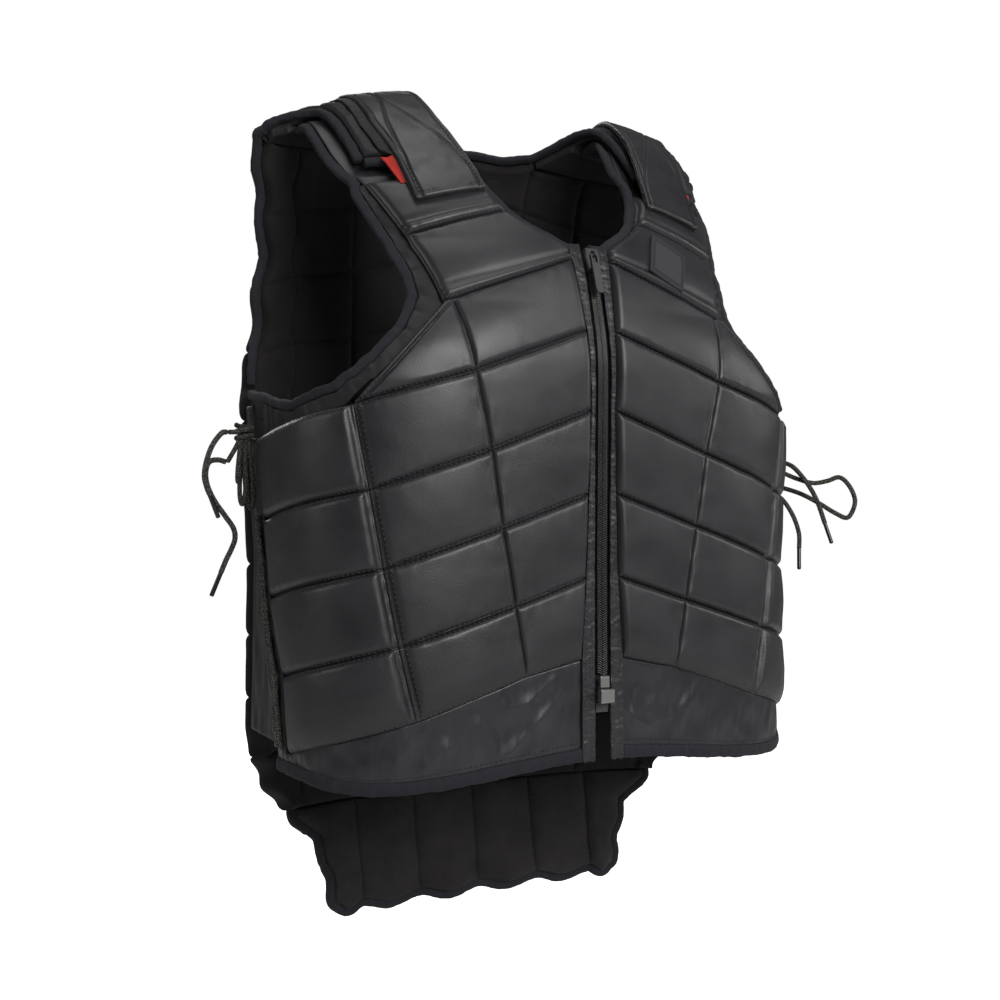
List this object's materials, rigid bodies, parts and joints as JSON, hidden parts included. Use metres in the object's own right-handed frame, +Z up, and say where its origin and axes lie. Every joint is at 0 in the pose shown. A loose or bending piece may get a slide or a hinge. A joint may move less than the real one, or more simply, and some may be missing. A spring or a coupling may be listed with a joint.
{
  "type": "equestrian body protector",
  "caption": "Padded riding vest with a quilted front zip closure, laced sides, overlapping shoulder straps and a drop tail.",
  "frame": {"origin": "midway between the undersides of the two shoulders, at the crest where they rest on the wearer", "axes": "+Z up, the front faces -Y, +X to the wearer's left"},
  "size_m": [0.5032, 0.2338, 0.5987],
  "materials": {
    "outer_black": "satin twill",
    "lining_black": "matt stretch cloth",
    "binding_grey": "matt woven tape",
    "nylon_black": "smooth nylon",
    "loop_black": "brushed loop",
    "signal_red": "woven tape",
    "gunmetal": "dark plated",
    "pale_metal": "plated",
    "lace_black": "braided",
    "aglet_black": "moulded",
    "badge_rubber": "moulded"
  },
  "bodies": {
    "vest": {"front_panel_right": "outer_black", "side_panel_right": "outer_black", "side_edge_right": "outer_black", "front_skirt_right": "nylon_black", "hem_binding_right": "binding_grey", "gusset_right": "lining_black", "armhole_binding_right": "binding_grey", "neck_binding_right": "binding_grey", "shoulder_flap_right": "outer_black", "back_arm_binding_right": "binding_grey", "flap_end_binding_right": "binding_grey", "strap_right": "outer_black", "strap_patch_right": "loop_black", "red_tab_right": "signal_red", "side_strip_right": "binding_grey", "zip_facing_right": "outer_black", "side_lacing_right": "lace_black", "lace_bow_right": "lace_black", "front_panel_left": "outer_black", "side_panel_left": "outer_black", "side_edge_left": "outer_black", "front_skirt_left": "nylon_black", "hem_binding_left": "binding_grey", "gusset_left": "lining_black", "armhole_binding_left": "binding_grey", "neck_binding_left": "binding_grey", "shoulder_flap_left": "outer_black", "back_arm_binding_left": "binding_grey", "flap_end_binding_left": "binding_grey", "strap_left": "outer_black", "strap_patch_left": "loop_black", "red_tab_left": "signal_red", "side_strip_left": "binding_grey", "zip_facing_left": "outer_black", "side_lacing_left": "lace_black", "lace_bow_left": "lace_black", "back_panel": "lining_black", "back_tail": "lining_black", "tail_binding": "binding_grey", "neck_binding_back": "binding_grey", "zip_tape": "binding_grey", "zip_chain": "gunmetal", "zip_slider": "gunmetal", "zip_pins": "pale_metal", "zip_box": "pale_metal", "badge": "badge_rubber", "lace_right_long": "lace_black", "lace_right_short": "lace_black", "lace_left_long": "lace_black", "lace_left_short": "lace_black", "lace_left_loop": "lace_black", "aglet_right_long": "aglet_black", "aglet_right_short": "aglet_black", "aglet_left_long": "aglet_black", "aglet_left_short": "aglet_black"},
    "pull": {"zip_pull": "gunmetal"}
  },
  "joints": [
    {"name": "pull_hinge", "type": "hinge", "parent": "vest", "child": "pull", "pos_m": [0, -0.13001, -0.10452], "axis": [-1, 0, 0], "range_deg": [0, 150]}
  ]
}
